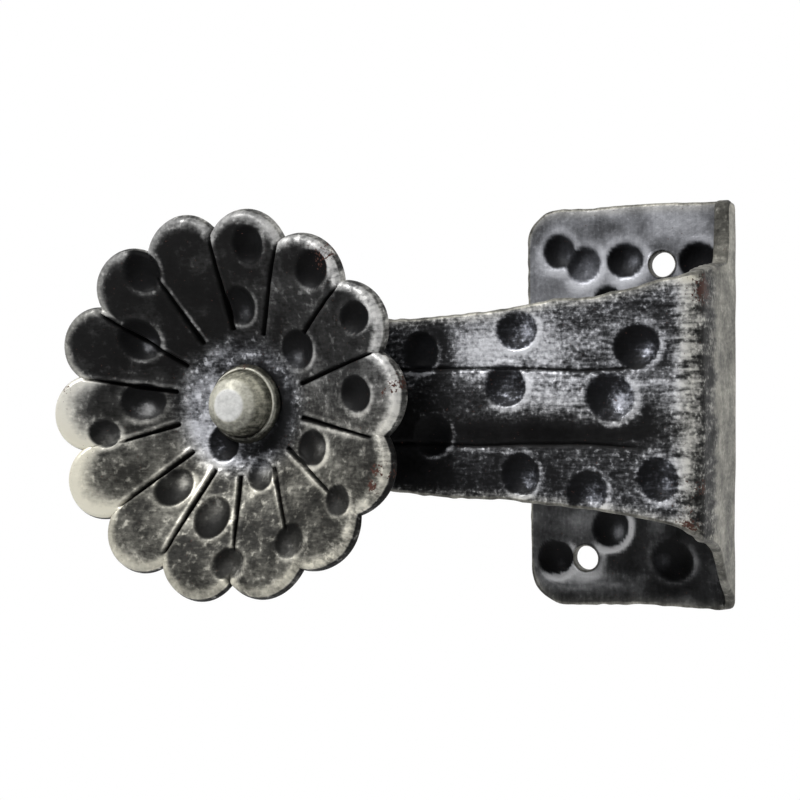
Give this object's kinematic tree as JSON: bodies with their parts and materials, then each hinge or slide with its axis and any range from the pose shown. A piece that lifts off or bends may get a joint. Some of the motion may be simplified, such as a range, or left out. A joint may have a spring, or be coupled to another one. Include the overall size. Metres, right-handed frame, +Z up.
{
  "type": "cabinet knob",
  "caption": "Hammered iron pull knob: a folded strap bracket screwed on by its flat plate, its arm carrying a dished petal rosette on a rivet.",
  "frame": {"origin": "centre of the back face of the strap's plate, the face that lies against the door or wall", "axes": "+Y out of the plate's back face into what carries it, +Z up the plate's long side, the arm runs toward -X in front of the plate and the rosette faces -Y"},
  "size_m": [0.11, 0.04, 0.068],
  "materials": {
    "blackened_iron": "hammered, blackened, with the high spots rubbed back to grey metal",
    "rubbed_iron": "blackened, with petal rims and ridges rubbed to bright metal",
    "worn_rivet": "worn warm grey"
  },
  "bodies": {
    "root": {"bracket_strap": "blackened_iron", "rosette": "rubbed_iron", "rivet": "worn_rivet"}
  },
  "joints": []
}
